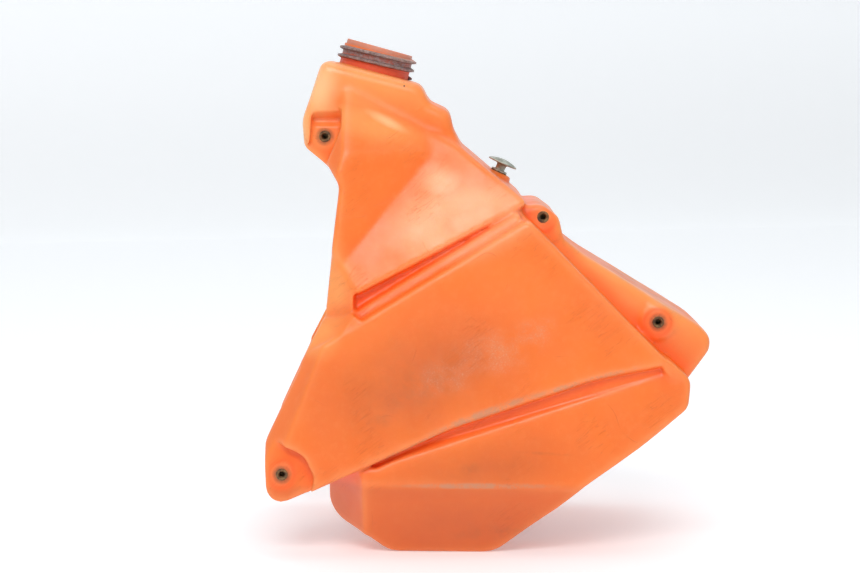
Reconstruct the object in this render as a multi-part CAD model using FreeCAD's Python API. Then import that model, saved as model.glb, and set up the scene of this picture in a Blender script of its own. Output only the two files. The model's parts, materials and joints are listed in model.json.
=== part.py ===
"""Fuel tank of an off-road motorcycle: a hollow plastic saddle tank with its brass inserts, seat stud and tap.

The tank straddles the frame tube.  +X points to the rear of the motorcycle, +Y to its right and +Z up.  The origin
is below the middle of the tank, on the surface that the tank's belly stands on.  Lengths are in millimetres.
"""
import FreeCAD, Part
import math
import os

Vector = FreeCAD.Vector

# ---- the moulding ----
WALL = 4.0
BLOCK_DEPTH = 200.0       # longer than half the tank's width
CUTTER = 900.0            # side of the boxes that trim the blocks

# ---- filler neck ----
NECK_BASE = Vector(-96.0, 0, 393.1)
NECK_TILT = 15.5          # leans to the rear
NECK_HEIGHT = 20.0
NECK_DEPTH = 8.0          # how far the neck's tube reaches down into the head
NECK_ROOT_R = 29.6
NECK_RIM_R = 28.3
NECK_RIM_BAND = 4.0
NECK_BORE_R = 25.0
THREAD_CREST_R = 33.0
THREAD_PITCH = 7.0
THREAD_TURNS = 2.25
THREAD_FOOT = 4.0         # width of the thread at its root
THREAD_TOP = 1.6          # width of its crest
THREAD_START = 1.2        # height of the first turn over the base

# ---- threaded inserts, M6 ----
INSERT_HEX_R = 4.5
INSERT_COLLAR_R = 4.8
INSERT_COLLAR = 0.6
INSERT_DEPTH = 12.0
INSERT_BORE_R = 2.5
INSERT_BORE_DEPTH = 10.0
INSERT_CHAMFER = 0.5
INSERT_PLAY = 0.05
INSERT_POST_R = 9.0
INSERT_POST = 16.0

# where each insert's face is on the left side: x, z and distance from the centre plane
INSERT_SITES = {
    "front_upper": (-135.4, 338.8, 51.0),
    "front_lower": (-168.5, 67.5, 118.0),
    "rear_upper": (44.4, 273.2, 70.0),
    "rear_lower": (139.6, 186.5, 72.5),
}
LAND_R = 8.0              # the flat round land around the insert of the wing
REAR_BOSS_R = 15.2        # the raised boss around the lower rear insert

# ---- seat stud and its insert, M8 ----
STUD_FOOT = Vector(9.8, 0, 307.0)
STUD_TILT = 24.0
STUD_STEM_R = 4.1
STUD_STEM = 7.2
STUD_HEAD_R = 12.8
STUD_HEAD = 4.6
STUD_RIM = 1.2
STUD_SHANK_R = 3.95
STUD_SHANK = 14.0
STUD_PAD_R = 11.5
STUD_PAD = 26.0
STUD_INSERT_HEX_R = 6.6
STUD_INSERT_COLLAR_R = 7.0
STUD_INSERT_BORE_R = 4.0
STUD_INSERT_DEPTH = 18.0

# ---- the inner side: frame tunnel, room for the radiators and the engine ----
TUNNEL_HALF_WIDTH = 33.0
LOBE_INNER = 50.0
WING_INNER = 82.0
ROOF_FRONT = (-230.0, 322.0)
ROOF_REAR = (230.0, 123.0)

# ---- rubber pads on the tunnel roof, and the M8 insert for the frame bolt ----
PAD_X = {"front": -72.0, "rear": 62.0}
PAD_LENGTH = 46.0
PAD_WIDTH = 30.0
PAD_HEIGHT = 7.0
FRAME_INSERT_X = 148.0

# ---- fuel tap on the inner wall of the left lobe: heights are over that wall ----
TAP_SITE = Vector(34.0, -LOBE_INNER, 58.0)
TAP_SLOPE = 38.1          # its flange lies along the slanted rear edge of the lobe
TAP_GAP = 0.65
TAP_FLANGE_LENGTH = 52.0
TAP_FLANGE_WIDTH = 28.0
TAP_FLANGE_TOP = 5.65
TAP_SCREW_X = 19.0
TAP_SCREW_HOLE_R = 3.2
TAP_BARREL_R = 12.5
TAP_BARREL_TOP = 20.0
TAP_NECK_R = 8.5
TAP_NECK = 9.0
TAP_HOLE_R = 9.0
TAP_WALL = 9.0            # the tank's wall is thick here
TAP_PAD_LENGTH = 62.0
TAP_PAD_WIDTH = 34.0
PORT_R = 1.8
PORT_OFFSET = 4.5
CHAMBER_R = 9.0
CHAMBER_FLOOR = 12.0
SPIGOT_R = 4.0
SPIGOT_BARB_R = 4.7
SPIGOT_BARBS = (27.0, 33.0)
SPIGOT_BORE_R = 2.4
SPIGOT_REACH = 38.0
SPIGOT_HEIGHT = 9.0
SEAL_GROOVE = (9.8, 12.0)
SEAL_GROOVE_TOP = 2.2
SEAL_R = 1.05
STRAINER_R = 5.0
STRAINER_WALL = 0.6
STRAINER = 27.0
STANDPIPE_R = 1.75
STANDPIPE_BORE_R = 1.2
STANDPIPE_RUN = 22.0
STANDPIPE_BEND = 9.0
STANDPIPE_RISE = 45.0
LEVER_DISC_R = 8.7
LEVER_DISC = (13.3, 16.8)
LEVER_STEM_R = 5.5
LEVER_HUB_R = 7.5
LEVER_REACH = 26.0
LEVER_WIDTH = 9.0
LEVER_GRIP = (24.2, 28.6)
LEVER_SEAL_R = 8.8
LEVER_SEAL_TOP = 13.0
WAVE_WASHER_R = (6.2, 8.5)
WAVE_WASHER_HEIGHT = (17.2, 19.2)
WAVE_WASHER = 0.6
PLATE_TOP = 21.2
PLATE_HOLE_R = 5.8
PLATE_SCREW = 10.3
LUG_R = 4.0
M3_HOLE_R = 1.5
M3_SHANK_R = 1.45
M3_HEAD_R = 2.8
M3_HEAD = 2.0
M3_DEPTH = 7.0
M6_SHANK_R = 2.45
M6_HEAD_R = 5.6
M6_HEAD = 4.0
M6_REACH = 8.0
WASHER_R = 6.0
WASHER_BORE_R = 3.2
WASHER = 1.0


def at(x, z, out=0.0):
    """A point on the left half: out is its distance from the centre plane."""
    return Vector(x, -out, z)


def rounded_outline(points):
    """A closed wire in the XZ plane through (x, z, corner radius) points, each corner an arc."""
    corners = [at(x, z) for x, z, radius in points]
    edges = []
    ends = []
    for i, (x, z, radius) in enumerate(points):
        corner = corners[i]
        back = (corners[i - 1] - corner).normalize()
        ahead = (corners[(i + 1) % len(corners)] - corner).normalize()
        if radius == 0:
            ends.append((corner, corner))
            continue
        half_angle = back.getAngle(ahead) / 2
        reach = radius / math.tan(half_angle)
        middle = corner + (back + ahead).normalize() * (radius / math.sin(half_angle) - radius)
        start = corner + back * reach
        end = corner + ahead * reach
        edges.append(Part.Arc(start, middle, end).toShape())
        ends.append((start, end))
    for i in range(len(ends)):
        start = ends[i - 1][1]
        end = ends[i][0]
        if start.distanceToPoint(end) > 1e-6:
            edges.append(Part.LineSegment(start, end).toShape())
    return Part.Wire(Part.__sortEdges__(edges))


def prism(points, depth, offset=0.0):
    """The outline, grown by offset, swept out from the centre plane by depth."""
    wire = rounded_outline(points)
    if offset:
        wire = wire.makeOffset2D(offset)
    return Part.Face(wire).extrude(Vector(0, -depth, 0))


def plane_of(points, inset=0.0):
    """Base and outward normal of the plane through three (x, z, out) points, moved in by inset."""
    a, b, c = [at(*point) for point in points]
    normal = (b - a).cross(c - a).normalize()
    if normal.y > 0:
        normal = normal * -1
    return a - normal * inset, normal


def outside(plane):
    """A box that fills the outer side of a plane."""
    base, normal = plane
    box = Part.makeBox(CUTTER, CUTTER, CUTTER, Vector(-CUTTER / 2, -CUTTER / 2, 0))
    box.Placement = FreeCAD.Placement(base, FreeCAD.Rotation(Vector(0, 0, 1), normal))
    return box


def lowered(face, drop=1.0):
    """The same face, nearer the centre plane, so that the block stays just under its neighbour's surface."""
    return [(x, z, out - drop) for x, z, out in face]


def on_plane(edge, plane):
    base, normal = plane
    middle = edge.valueAt((edge.FirstParameter + edge.LastParameter) / 2)
    return abs((middle - base).dot(normal)) < 1e-3


def block(points, faces, edge_r, inset=0.0, bevels=()):
    """One rounded block of the moulding: an outline with slanted outer faces.  inset gives its hollow."""
    solid = prism(points, BLOCK_DEPTH, -inset)
    planes = [plane_of(face, inset) for face in faces]
    for plane in planes:
        solid = solid.cut(outside(plane))
    radius = edge_r - inset
    if radius > 0.5:
        edges = [edge for edge in solid.Edges if any(on_plane(edge, plane) for plane in planes)]
        solid = solid.makeFillet(radius, edges)
    for bevel in bevels:
        solid = solid.cut(outside(plane_of(bevel, inset)))
    return solid


# ---- the blocks of the left half: outline, outer faces, edge radius ----
HEAD = dict(
    points=[(-137.5, 402.3, 7), (-56, 381.5, 8), (-49, 366.5, 6), (-32, 359.5, 9), (-28.5, 341, 30),
            (-22, 318, 0), (-60, 285, 0), (-123, 285, 0), (-124, 304.5, 10), (-138, 318, 20), (-153, 330, 10),
            (-154.4, 352, 22)],
    faces=[[(-141, 400, 57), (-57, 380, 57), (-100, 300, 57)]],
    edge_r=8)

SHOULDER_FACE = [(-118, 325, 88), (-45, 328, 66), (-118, 384, 56)]
CHEEK_FACE = [(-118, 325, 88), (-45, 328, 66), (-118, 239, 97)]
CHEEK_FRONT_FACE = [(-118.5, 325, 88), (-118.5, 384, 56), (-133, 325, 72)]
CHEEK = dict(
    points=[(-148, 361.5, 5), (-141, 388, 6), (-62, 376.5, 6), (-29, 344, 6), (-12, 310, 0), (-60, 262, 0),
            (-115, 226, 0), (-128.8, 245, 0), (-123, 300, 10), (-134, 318, 5), (-121.5, 346, 4), (-121.5, 361.5, 4)],
    faces=[SHOULDER_FACE, CHEEK_FACE, CHEEK_FRONT_FACE],
    edge_r=4)

SHELF_FACE = [(-45, 328, 66), (29, 283, 88), (-108, 213, 108)]
SHELF = dict(
    points=[(-125, 240, 4), (-108.3, 211.5, 4), (32.5, 284.8, 4), (-25.5, 332.7, 8), (-60, 350, 0), (-110, 310, 0)],
    faces=[SHELF_FACE],
    edge_r=3)

THROAT = dict(
    points=[(-126.3, 264, 0), (-135, 191, 0), (-113, 185, 0), (-109.6, 190, 0), (-109.6, 264, 0)],
    faces=[[(-124.3, 239.8, 96.5), (-108.6, 211.8, 108.4), (-133.7, 196.2, 86)], lowered(SHELF_FACE)],
    edge_r=1.8)

CORE = dict(
    points=[(-111, 189, 0), (-111, 238, 0), (-60, 262, 8), (20, 289, 3), (30, 272, 5), (134, 163, 8), (120, 120, 5),
            (-60, 70, 5), (-95, 84, 5), (-112, 120, 5)],
    faces=[[(-110, 200, 98), (29, 276, 82), (20, 119, 101)]],
    edge_r=2)

RIB = dict(
    points=[(-111.5, 186, 0), (-111.5, 197.8, 3), (24.5, 279.3, 3), (27, 262, 0)],
    faces=[[(-111, 198, 103), (26, 280, 90), (-111, 188, 107)]],
    edge_r=2.5)

BAND = dict(
    points=[(-106, 56, 3), (-106, 84, 3), (-30, 118, 60), (100, 160, 60), (138, 158, 4), (140, 132, 8), (90, 116, 60),
            (-30, 78, 60)],
    faces=[[(-104, 70, 115), (-104, 170, 115), (145, 155, 110)]],
    edge_r=2)

MAIN_FACE = [(32, 269, 102), (-160, 98, 126), (142, 159, 118)]
MAIN_FRONT_FACE = [(-134.5, 173.6, 115), (-162.8, 98.1, 126), (-179.5, 95.8, 108)]
MAIN = dict(
    points=[(-149, 165.2, 6), (31, 272.8, 5), (146, 156.5, 5), (88, 146, 250), (-30, 106, 250), (-181, 38.7, 12),
            (-182.6, 92, 24)],
    faces=[MAIN_FACE, MAIN_FRONT_FACE],
    edge_r=3.5)

WING_ROOT = dict(
    points=[(-135.5, 192.5, 5), (-111.5, 197.7, 0), (-104, 192, 0), (-95, 180, 0), (-130, 150, 0), (-155, 155, 0)],
    faces=[[(-147, 166, 104), (-111.5, 197.7, 107.5), (-134, 195, 89)], lowered(MAIN_FACE), lowered(MAIN_FRONT_FACE)],
    edge_r=0)

HORN = dict(
    points=[(134, 166, 0), (147.5, 158, 3), (161.5, 144.5, 4), (156, 139, 3), (147, 143, 3), (140, 152, 3)],
    faces=[[(140, 160, 116.5), (161, 145, 112), (147, 143, 113.5)]],
    edge_r=2)

LOBE_CREASE = [(-95, 61.5, 124), (56, 56, 124)]
LOBE_UPPER_FACE = LOBE_CREASE + [(140, 142.5, 112)]
LOBE_BELLY_FACE = LOBE_CREASE + [(-40, 0, 99)]
LOBE_TOP_FACE = [(-32, 93, 119), (88, 131, 113.7), (-32, 101, 107)]
LOBE_FRONT_FACE = [(-102, 60, 124), (-102, 20, 107.6), (-131, 40, 62)]
LOBE = dict(
    points=[(-132.5, 25, 22), (-132, 86, 8), (-108, 86, 8), (-95, 71.5, 8), (-32, 101, 150),
            (88, 139, 150), (148, 157, 6), (163, 144, 13), (161, 121, 12), (121, 89, 40), (74, 56, 40),
            (56, 40, 40), (4, 0, 30), (-81.5, 0, 22), (-102.5, 16, 40)],
    faces=[LOBE_UPPER_FACE, LOBE_BELLY_FACE, LOBE_FRONT_FACE],
    bevels=[LOBE_TOP_FACE],
    edge_r=2.8)

TAIL = dict(
    points=[(10, 260, 4), (30, 282.5, 5), (43, 284, 12), (57.5, 273, 8), (61.5, 255, 6), (79, 241.5, 60),
            (173.8, 183.6, 9), (187.2, 170, 12), (163.6, 135.8, 12), (110, 110, 6), (-10, 200, 4)],
    faces=[[(30, 283, 70), (180, 180, 70), (100, 120, 70)]],
    edge_r=5)

BLOCKS = [HEAD, CHEEK, SHELF, THROAT, CORE, RIB, BAND, MAIN, WING_ROOT, HORN, LOBE, TAIL]

# ---- hollows of the inner side: outline and distance from the centre plane ----
TUNNEL = dict(
    points=[(-230, -30, 0), (*ROOF_FRONT, 0), (*ROOF_REAR, 0), (230, -30, 0)],
    reach=TUNNEL_HALF_WIDTH)
LOBE_HOLLOW = dict(
    points=[(-150, -30, 0), (-150, 100, 10), (-60, 150, 30), (120, 120, 30), (200, 100, 0), (200, -30, 0)],
    reach=LOBE_INNER)
WING_HOLLOW = dict(
    points=[(-230, -30, 0), (-230, 240, 0), (-143, 240, 4), (-143, 206, 8), (-105, 192, 14), (-105, 93, 14),
            (-135.5, 93, 4), (-135.5, -30, 0)],
    reach=WING_INNER)
HOLLOWS = [TUNNEL, LOBE_HOLLOW, WING_HOLLOW]


# ---- recesses in the outer surface: outline and floor faces ----
POCKET_CEILING = [(-145, 359.5, 57), (-120, 359.5, 57), (-135, 353, 46)]
POCKET = dict(
    points=[(-145.5, 366, 3), (-121, 366, 3), (-121.8, 345, 4), (-133, 318, 4), (-141, 295, 0), (-175, 295, 0),
            (-175, 331, 0), (-147.5, 331, 5)],
    faces=[[(-145, 360, 51), (-120, 360, 51), (-135, 320, 51)], POCKET_CEILING])
POCKET_VALLEY = dict(
    points=[(-145.5, 366, 3), (-121, 366, 3), (-121.8, 343, 3), (-146.8, 343, 3)],
    faces=[POCKET_CEILING, [(-145, 353, 46), (-120, 353, 46), (-135, 346.5, 51)]])
WING_RECESS = dict(
    points=[(-205, 110, 0), (-150, 84.5, 16), (-141, 66, 16), (-152, 30, 0), (-205, 30, 0)],
    faces=[[(-178, 90, 115), (-145, 78, 120), (-165, 48, 120)]])
RECESSES = [POCKET, POCKET_VALLEY, WING_RECESS]


def half_body(inset):
    """The left half as one solid; with an inset, the space inside it."""
    blocks = [block(inset=inset, **shape) for shape in BLOCKS]
    body = blocks[0].fuse(blocks[1:])
    for hollow in HOLLOWS:
        body = body.cut(prism(hollow["points"], hollow["reach"] + inset, inset))
    for recess in RECESSES:
        cutter = prism(recess["points"], BLOCK_DEPTH, inset)
        for face in recess["faces"]:
            cutter = cutter.common(outside(plane_of(face, inset)))
        body = body.cut(cutter)
    return body


def placed(shape, base, axis):
    """The shape with its origin at base and its Z axis along axis."""
    turn = FreeCAD.Rotation(Vector(0, 0, 1), axis)
    shape.Placement = FreeCAD.Placement(base, turn).multiply(shape.Placement)
    return shape


def tilted(degrees):
    """A direction that leans from straight up towards the rear."""
    angle = math.radians(degrees)
    return Vector(math.sin(angle), 0, math.cos(angle))


def cylinder(radius, low, high, x=0.0, y=0.0):
    return Part.makeCylinder(radius, high - low, Vector(x, y, low))


def ring(inner, outer, low, high, x=0.0, y=0.0):
    return cylinder(outer, low, high, x, y).cut(cylinder(inner, low, high, x, y))


def hexagon(radius, low, high):
    corners = [Vector(radius * math.cos(math.radians(a)), radius * math.sin(math.radians(a)), low)
               for a in range(30, 391, 60)]
    return Part.Face(Part.makePolygon(corners)).extrude(Vector(0, 0, high - low))


def turned(profile):
    """A solid of revolution about Z from (radius, height) corners."""
    corners = [Vector(r, 0, z) for r, z in profile]
    face = Part.Face(Part.makePolygon(corners + corners[:1]))
    return face.revolve(Vector(), Vector(0, 0, 1), 360)


def mirrored(shape):
    return shape.mirror(Vector(), Vector(0, 1, 0))


def neck_thread():
    """The right-handed thread of the neck, one trapezoid swept along a helix."""
    helix = Part.makeHelix(THREAD_PITCH, THREAD_PITCH * THREAD_TURNS, NECK_ROOT_R)
    root = NECK_ROOT_R - 0.4
    corners = [Vector(root, 0, -THREAD_FOOT / 2), Vector(THREAD_CREST_R, 0, -THREAD_TOP / 2),
               Vector(THREAD_CREST_R, 0, THREAD_TOP / 2), Vector(root, 0, THREAD_FOOT / 2)]
    profile = Part.makePolygon(corners + corners[:1])
    thread = helix.makePipeShell([profile], True, True)
    thread.translate(Vector(0, 0, THREAD_START))
    return thread


def neck():
    tube = cylinder(NECK_ROOT_R, -NECK_DEPTH, NECK_HEIGHT - NECK_RIM_BAND)
    rim = cylinder(NECK_RIM_R, 0, NECK_HEIGHT)
    rim = rim.makeFillet(0.8, [edge for edge in rim.Edges if edge.BoundBox.ZMin > NECK_HEIGHT - 0.1])
    return placed(tube.fuse([rim, neck_thread()]), NECK_BASE, tilted(NECK_TILT))


def neck_bore():
    return placed(cylinder(NECK_BORE_R, -30, NECK_HEIGHT + 5), NECK_BASE, tilted(NECK_TILT))


def insert(hex_r, collar_r, bore_r, depth, bore_depth):
    """A brass insert, its face at z = 0: a hexagonal body, a thin round collar and a blind threaded bore."""
    body = hexagon(hex_r, -depth, 0)
    body = body.fuse(cylinder(collar_r, 0, INSERT_COLLAR))
    body = body.cut(cylinder(bore_r, -bore_depth, INSERT_COLLAR))
    lead = Part.makeCone(bore_r, bore_r + INSERT_CHAMFER, INSERT_CHAMFER, Vector(0, 0, INSERT_COLLAR - INSERT_CHAMFER))
    return body.cut(lead)


def small_insert():
    return insert(INSERT_HEX_R, INSERT_COLLAR_R, INSERT_BORE_R, INSERT_DEPTH, INSERT_BORE_DEPTH)


def large_insert():
    return insert(STUD_INSERT_HEX_R, STUD_INSERT_COLLAR_R, STUD_INSERT_BORE_R, STUD_INSERT_DEPTH, STUD_SHANK + 2)


def insert_pocket(hex_r, depth):
    return hexagon(hex_r + INSERT_PLAY, -depth - INSERT_PLAY, 1)


def at_site(shape, name):
    x, z, out = INSERT_SITES[name]
    return placed(shape, at(x, z, out), Vector(0, -1, 0))


def roof_point(x):
    """The point of the tunnel roof's centre line at x."""
    x0, z0 = ROOF_FRONT
    x1, z1 = ROOF_REAR
    return Vector(x, 0, z0 + (z1 - z0) * (x - x0) / (x1 - x0))


ROOF_DOWN = Vector(ROOF_REAR[1] - ROOF_FRONT[1], 0, ROOF_FRONT[0] - ROOF_REAR[0]).normalize()


def tap_placed(shape):
    """From the tap's own axes (X along the flange, Y down and back, Z out of the wall) to the tank's."""
    slope = math.radians(TAP_SLOPE)
    along = Vector(math.cos(slope), 0, math.sin(slope))
    out = Vector(0, 1, 0)
    turn = FreeCAD.Rotation(along, out.cross(along), out, "ZXY")
    shape.Placement = FreeCAD.Placement(TAP_SITE, turn).multiply(shape.Placement)
    return shape


def shell_half(left):
    """One half of the moulding, closed on the centre plane, with its insert pockets."""
    outer = half_body(0)
    space = half_body(WALL)
    for name, (x, z, out) in INSERT_SITES.items():
        space = space.cut(at_site(cylinder(INSERT_POST_R, -INSERT_POST, 5), name))
    outer = outer.fuse(at_site(cylinder(LAND_R, -12, 0), "front_lower"))
    outer = outer.cut(at_site(cylinder(LAND_R, 0, 20), "front_lower"))
    boss = cylinder(REAR_BOSS_R, -10, 0)
    boss = boss.makeFillet(2, [edge for edge in boss.Edges if edge.BoundBox.ZMin > -0.1])
    outer = outer.fuse(at_site(boss, "rear_lower"))
    if left:
        pad = Part.makeBox(TAP_PAD_LENGTH, TAP_PAD_WIDTH, TAP_WALL + 10,
                           Vector(-TAP_PAD_LENGTH / 2, -TAP_PAD_WIDTH / 2, -TAP_WALL))
        space = space.cut(tap_placed(pad))
        for side in (-1, 1):
            space = space.cut(tap_placed(cylinder(INSERT_POST_R, -INSERT_POST, 0, side * TAP_SCREW_X)))
    half = outer.cut(space)
    for name in INSERT_SITES:
        half = half.cut(at_site(insert_pocket(INSERT_HEX_R, INSERT_DEPTH), name))
    if left:
        half = half.cut(tap_placed(cylinder(TAP_HOLE_R, -TAP_WALL - 10, 1)))
        for side in (-1, 1):
            pocket = insert_pocket(INSERT_HEX_R, INSERT_DEPTH)
            pocket.translate(Vector(side * TAP_SCREW_X, 0, 0))
            half = half.cut(tap_placed(pocket))
    return half


def tank_shell():
    shell = shell_half(left=True).fuse(mirrored(shell_half(left=False)))
    pad = placed(cylinder(STUD_PAD_R, -STUD_PAD, 0), STUD_FOOT, tilted(STUD_TILT))
    post = placed(cylinder(STUD_PAD_R, -STUD_PAD, 0), roof_point(FRAME_INSERT_X), ROOF_DOWN)
    shell = shell.fuse([neck(), pad, post])
    pocket = insert_pocket(STUD_INSERT_HEX_R, STUD_INSERT_DEPTH)
    shell = shell.cut(neck_bore())
    shell = shell.cut(placed(pocket.copy(), STUD_FOOT, tilted(STUD_TILT)))
    shell = shell.cut(placed(pocket.copy(), roof_point(FRAME_INSERT_X), ROOF_DOWN))
    return shell.removeSplitter()


def seat_stud():
    """The seat hooks over its mushroom head."""
    low = INSERT_COLLAR
    stud = cylinder(STUD_SHANK_R, -STUD_SHANK, low).fuse(cylinder(STUD_STEM_R, low, STUD_STEM + 1))
    rise = STUD_HEAD - STUD_RIM
    dome_r = (STUD_HEAD_R ** 2 + rise ** 2) / (2 * rise)
    top = STUD_STEM + STUD_HEAD
    dome = Part.makeSphere(dome_r, Vector(0, 0, top - dome_r))
    head = cylinder(STUD_HEAD_R, STUD_STEM, top).common(dome)
    head = head.cut(Part.makeCone(STUD_HEAD_R, STUD_STEM_R, STUD_RIM / 2, Vector(0, 0, STUD_STEM)))
    return placed(stud.fuse(head).removeSplitter(), STUD_FOOT, tilted(STUD_TILT))


def tunnel_pad(x):
    """A rubber pad that lies on the frame tube."""
    pad = Part.makeBox(PAD_LENGTH, PAD_WIDTH, PAD_HEIGHT, Vector(-PAD_LENGTH / 2, -PAD_WIDTH / 2, 0))
    pad = pad.makeFillet(2, [edge for edge in pad.Edges if edge.BoundBox.ZMax > 1])
    return placed(pad, roof_point(x), ROOF_DOWN)


def tap_body():
    low = TAP_GAP
    end_r = TAP_FLANGE_WIDTH / 2
    end_x = TAP_FLANGE_LENGTH / 2 - end_r
    flange = Part.makeBox(2 * end_x, TAP_FLANGE_WIDTH, TAP_FLANGE_TOP - low, Vector(-end_x, -end_r, low))
    flange = flange.fuse([cylinder(end_r, low, TAP_FLANGE_TOP, side * end_x) for side in (-1, 1)])
    body = flange.removeSplitter().fuse(cylinder(TAP_BARREL_R, low, TAP_BARREL_TOP))
    body = body.fuse(cylinder(TAP_NECK_R, -TAP_NECK, low))
    for side in (-1, 1):
        body = body.fuse(cylinder(LUG_R, low, TAP_BARREL_TOP, side * PLATE_SCREW, -side * PLATE_SCREW))
    spigot = [(0, 0), (SPIGOT_R, 0)]
    for barb in SPIGOT_BARBS:
        spigot += [(SPIGOT_R, barb), (SPIGOT_BARB_R, barb), (SPIGOT_R, barb + 5)]
    spigot += [(0, SPIGOT_REACH)]
    body = body.fuse(placed(turned(spigot), Vector(0, 0, SPIGOT_HEIGHT), Vector(0, 1, 0)))
    body = body.cut(cylinder(CHAMBER_R, CHAMBER_FLOOR, TAP_BARREL_TOP))
    for side in (-1, 1):
        body = body.cut(cylinder(PORT_R, -TAP_NECK, CHAMBER_FLOOR, side * PORT_OFFSET))
        body = body.cut(cylinder(TAP_SCREW_HOLE_R, low, TAP_FLANGE_TOP, side * TAP_SCREW_X))
        body = body.cut(cylinder(M3_HOLE_R, TAP_BARREL_TOP - M3_DEPTH - 1, TAP_BARREL_TOP,
                                 side * PLATE_SCREW, -side * PLATE_SCREW))
    outlet = cylinder(SPIGOT_BORE_R, PORT_OFFSET, SPIGOT_REACH)
    body = body.cut(placed(outlet, Vector(0, 0, SPIGOT_HEIGHT), Vector(0, 1, 0)))
    body = body.cut(cylinder(PORT_R, SPIGOT_HEIGHT, CHAMBER_FLOOR, 0, PORT_OFFSET))
    body = body.cut(ring(*SEAL_GROOVE, low, SEAL_GROOVE_TOP))
    return tap_placed(body.removeSplitter())


def tap_flange_seal():
    middle_r = sum(SEAL_GROOVE) / 2
    return tap_placed(Part.makeTorus(middle_r, SEAL_R, Vector(0, 0, SEAL_R + 0.07)))


def tap_strainer():
    """A gauze cup over the reserve port, inside the tank."""
    low = -TAP_NECK - STRAINER
    cup = cylinder(STRAINER_R, low, -TAP_NECK, -PORT_OFFSET)
    inside = cylinder(STRAINER_R - STRAINER_WALL, low + STRAINER_WALL, -TAP_NECK, -PORT_OFFSET)
    return tap_placed(cup.cut(inside))


def tap_main_standpipe():
    """A bent tube: out of the main port, then straight up, so that fuel below its mouth is the reserve."""
    slope = math.radians(TAP_SLOPE)
    start = TAP_SITE + Vector(math.cos(slope), 0, math.sin(slope)) * PORT_OFFSET + Vector(0, TAP_NECK - 14, 0)
    elbow = start + Vector(0, -STANDPIPE_RUN, 0)
    corner = math.cos(math.radians(45))
    middle = elbow + Vector(0, -corner, 1 - corner) * STANDPIPE_BEND
    rise = elbow + Vector(0, -1, 1) * STANDPIPE_BEND
    path = Part.Wire([Part.LineSegment(start, elbow).toShape(), Part.Arc(elbow, middle, rise).toShape(),
                      Part.LineSegment(rise, rise + Vector(0, 0, STANDPIPE_RISE)).toShape()])
    tubes = []
    for radius in (STANDPIPE_R, STANDPIPE_BORE_R):
        circle = Part.Wire(Part.makeCircle(radius, start, Vector(0, -1, 0)))
        tubes.append(path.makePipeShell([circle], True, True))
    return tubes[0].cut(tubes[1])


def tap_lever():
    """The lever, turned about the tap's axis; its grip points along the flange when the tap is shut."""
    low, high = LEVER_GRIP
    lever = cylinder(LEVER_DISC_R, *LEVER_DISC)
    lever = lever.fuse(cylinder(LEVER_STEM_R, LEVER_DISC[0], low + 1))
    half = LEVER_WIDTH / 2
    grip = Part.makeBox(LEVER_REACH - half, LEVER_WIDTH, high - low, Vector(0, -half, low))
    grip = grip.fuse([cylinder(half, low, high, LEVER_REACH - half), cylinder(LEVER_HUB_R, low, high)])
    grip = grip.removeSplitter()
    grip = grip.makeFillet(1.0, [edge for edge in grip.Edges if edge.BoundBox.ZMin > high - 0.1])
    return tap_placed(lever.fuse(grip).removeSplitter())


def tap_lever_seal():
    disc = cylinder(LEVER_SEAL_R, CHAMBER_FLOOR, LEVER_SEAL_TOP)
    for x, y in ((PORT_OFFSET, 0), (-PORT_OFFSET, 0), (0, PORT_OFFSET)):
        disc = disc.cut(cylinder(PORT_R, CHAMBER_FLOOR, LEVER_SEAL_TOP, x, y))
    return tap_placed(disc)


def tap_spring_washer():
    """A dished spring ring that presses the lever's disc on its seal."""
    inner, outer = WAVE_WASHER_R
    low, high = WAVE_WASHER_HEIGHT
    return tap_placed(turned([(inner, low), (outer, high), (outer, high + WAVE_WASHER), (inner, low + WAVE_WASHER)]))


def tap_retaining_plate():
    low = TAP_BARREL_TOP
    plate = cylinder(TAP_BARREL_R, low, PLATE_TOP)
    ears = [cylinder(LUG_R, low, PLATE_TOP, side * PLATE_SCREW, -side * PLATE_SCREW) for side in (-1, 1)]
    plate = plate.fuse(ears).cut(cylinder(PLATE_HOLE_R, low, PLATE_TOP))
    for side in (-1, 1):
        plate = plate.cut(cylinder(M3_HOLE_R, low, PLATE_TOP, side * PLATE_SCREW, -side * PLATE_SCREW))
    return tap_placed(plate.removeSplitter())


def tap_plate_screws():
    screws = []
    for side in (-1, 1):
        x, y = side * PLATE_SCREW, -side * PLATE_SCREW
        head = cylinder(M3_HEAD_R, PLATE_TOP, PLATE_TOP + M3_HEAD, x, y)
        head = head.makeFillet(0.8, [edge for edge in head.Edges if edge.BoundBox.ZMin > PLATE_TOP + 0.1])
        slot = Part.makeBox(2 * M3_HEAD_R, 0.8, 1, Vector(x - M3_HEAD_R, y - 0.4, PLATE_TOP + M3_HEAD - 0.8))
        shank = cylinder(M3_SHANK_R, TAP_BARREL_TOP - M3_DEPTH, PLATE_TOP, x, y)
        screws.append(tap_placed(head.cut(slot).fuse(shank)))
    return Part.makeCompound(screws)


def tap_flange_washers():
    low = TAP_FLANGE_TOP
    return Part.makeCompound([tap_placed(ring(WASHER_BORE_R, WASHER_R, low, low + WASHER, side * TAP_SCREW_X))
                              for side in (-1, 1)])


def tap_flange_screws():
    screws = []
    seat = TAP_FLANGE_TOP + WASHER
    for side in (-1, 1):
        screw = hexagon(M6_HEAD_R, seat, seat + M6_HEAD).fuse(cylinder(M6_SHANK_R, -M6_REACH, seat))
        screw.translate(Vector(side * TAP_SCREW_X, 0, 0))
        screws.append(tap_placed(screw))
    return Part.makeCompound(screws)


def tap_mount_inserts():
    inserts = []
    for side in (-1, 1):
        part = small_insert()
        part.translate(Vector(side * TAP_SCREW_X, 0, 0))
        inserts.append(tap_placed(part))
    return Part.makeCompound(inserts)


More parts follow.
